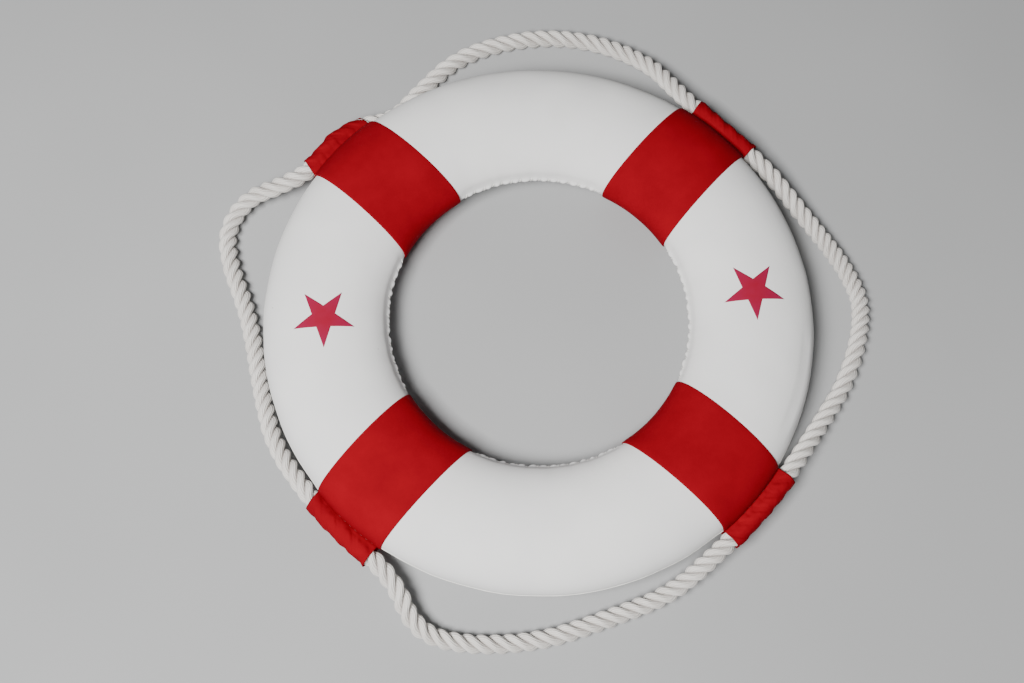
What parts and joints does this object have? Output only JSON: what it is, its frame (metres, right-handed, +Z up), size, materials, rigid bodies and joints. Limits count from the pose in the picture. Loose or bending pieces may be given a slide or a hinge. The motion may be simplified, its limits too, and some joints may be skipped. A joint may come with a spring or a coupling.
{
  "type": "ring lifebuoy",
  "caption": "Soft ring lifebuoy: a foam ring in a sewn white cover with red fabric bands, and a grab rope round the outside held in a fabric sleeve at each band.",
  "frame": {"origin": "under the middle of the ring, on the surface that the lifebuoy lies on", "axes": "+Z up along the ring's axis, away from the face that it lies on; the four bands are at 45, 135, 225 and 315 degrees from +X, and the stars near +X and -X"},
  "size_m": [0.6116, 0.6058, 0.0668],
  "materials": {
    "foam": "matte closed-cell foam",
    "white_fabric": "smooth matte tightly woven",
    "white_thread": "matte twisted thread",
    "red_fabric": "matte woven",
    "red_sleeve_fabric": "matte woven, puckered",
    "red_thread": "matte twisted thread",
    "cotton_rope": "matte laid cotton, slightly fuzzy",
    "rope_tape": "matte adhesive tape",
    "star_print": "matte thin transfer on fabric"
  },
  "bodies": {
    "root": {"foam_core_upper": "foam", "foam_core_lower": "foam", "cover_upper": "white_fabric", "cover_lower": "white_fabric", "inner_seam_stitches": "white_thread", "outer_seam_welt": "white_fabric", "band_rear_right": "red_fabric", "band_rear_left": "red_fabric", "band_front_left": "red_fabric", "band_front_right": "red_fabric", "rope_sleeve_rear_right": "red_sleeve_fabric", "rope_sleeve_rear_left": "red_sleeve_fabric", "rope_sleeve_front_left": "red_sleeve_fabric", "rope_sleeve_front_right": "red_sleeve_fabric", "sleeve_stitches_rear_right": "red_thread", "sleeve_stitches_rear_left": "red_thread", "sleeve_stitches_front_left": "red_thread", "sleeve_stitches_front_right": "red_thread", "grab_rope": "cotton_rope", "rope_end_tape": "rope_tape", "star_left": "star_print", "star_right": "star_print"}
  },
  "joints": []
}
